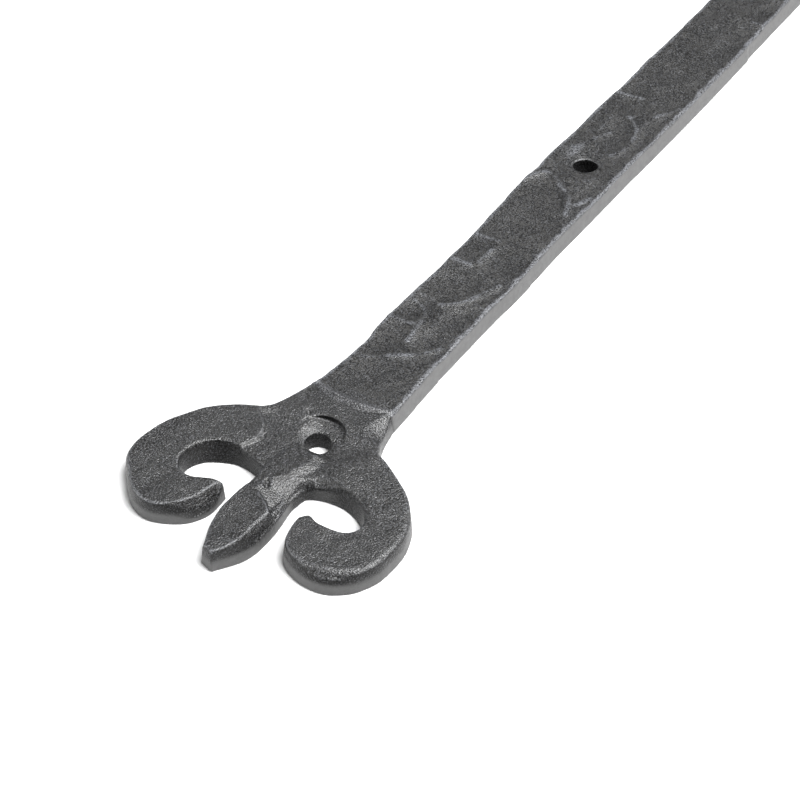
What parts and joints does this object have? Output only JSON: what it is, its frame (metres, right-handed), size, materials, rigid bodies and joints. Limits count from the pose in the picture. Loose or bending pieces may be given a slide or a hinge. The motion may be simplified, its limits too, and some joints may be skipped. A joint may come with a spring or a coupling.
{
  "type": "strap hinge",
  "caption": "T-type strap hinge: hammered iron strap with a fleur finial and open scrolls, turning on a riveted pin in a jamb plate with rolled knuckles.",
  "frame": {"origin": "on the mounting plane, right below the middle of the pin", "axes": "+X along the strap from the pin to the finial, +Y along the pin, +Z away from the door"},
  "size_m": [0.4985, 0.127, 0.016],
  "materials": {
    "cast_finial": "sand-cast, black wax, burnished edges",
    "hammered_strap": "hammered, black wax, burnished ridges",
    "weld_bead": "dressed weld, black wax",
    "hammered_plate": "hammered, black wax, burnished edges",
    "pin_iron": "forged head and riveted end, black wax",
    "washer_iron": "plain, black wax, rubbed on the faces"
  },
  "bodies": {
    "jamb": {"jamb_plate": "hammered_plate", "hinge_pin": "pin_iron", "upper_thrust_washer": "washer_iron", "lower_thrust_washer": "washer_iron", "rivet_washer": "washer_iron"},
    "strap": {"strap_bar": "hammered_strap", "neck_weld": "weld_bead", "fleur_finial": "cast_finial"}
  },
  "joints": [
    {"name": "strap_swing", "type": "hinge", "parent": "jamb", "child": "strap", "pos_m": [0, 0, 0.008], "axis": [0, -1, 0], "range_deg": [0, 180]}
  ]
}
